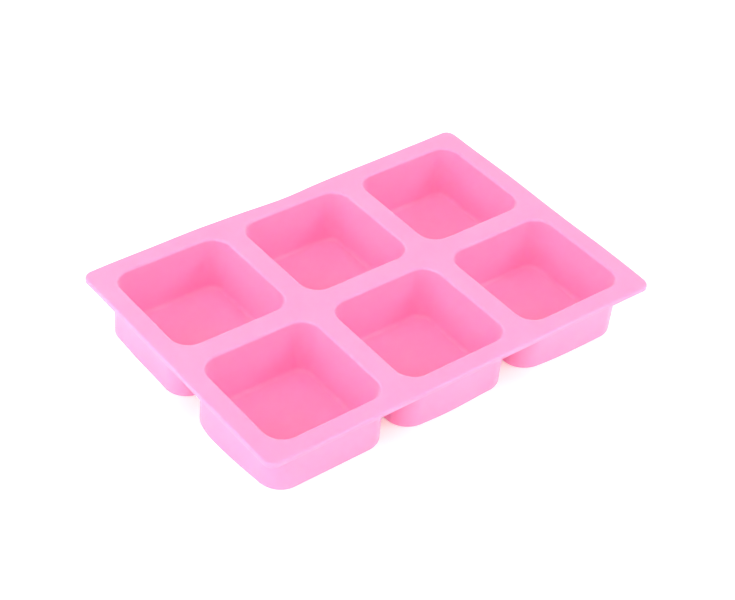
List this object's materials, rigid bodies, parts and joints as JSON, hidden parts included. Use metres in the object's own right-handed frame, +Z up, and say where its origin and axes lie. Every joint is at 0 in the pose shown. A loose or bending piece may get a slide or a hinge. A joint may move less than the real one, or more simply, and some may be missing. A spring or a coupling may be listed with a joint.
{
  "type": "soap mould",
  "caption": "Flexible silicone soap mould: a thin rectangular flange with rows of square, round-cornered, flat-bottomed cups hanging from it.",
  "frame": {"origin": "on the table under the middle of the mould, at the level of the cups' flat bottoms", "axes": "+X along the row of cups, the mould's longest side; +Y across the rows, away from the front; +Z up, out of the open cavities"},
  "size_m": [0.234, 0.1574, 0.0315],
  "materials": {
    "silicone": "satin"
  },
  "bodies": {
    "root": {"top_flange": "silicone", "cup_front_left": "silicone", "cup_front_middle": "silicone", "cup_front_right": "silicone", "cup_back_left": "silicone", "cup_back_middle": "silicone", "cup_back_right": "silicone"}
  },
  "joints": []
}
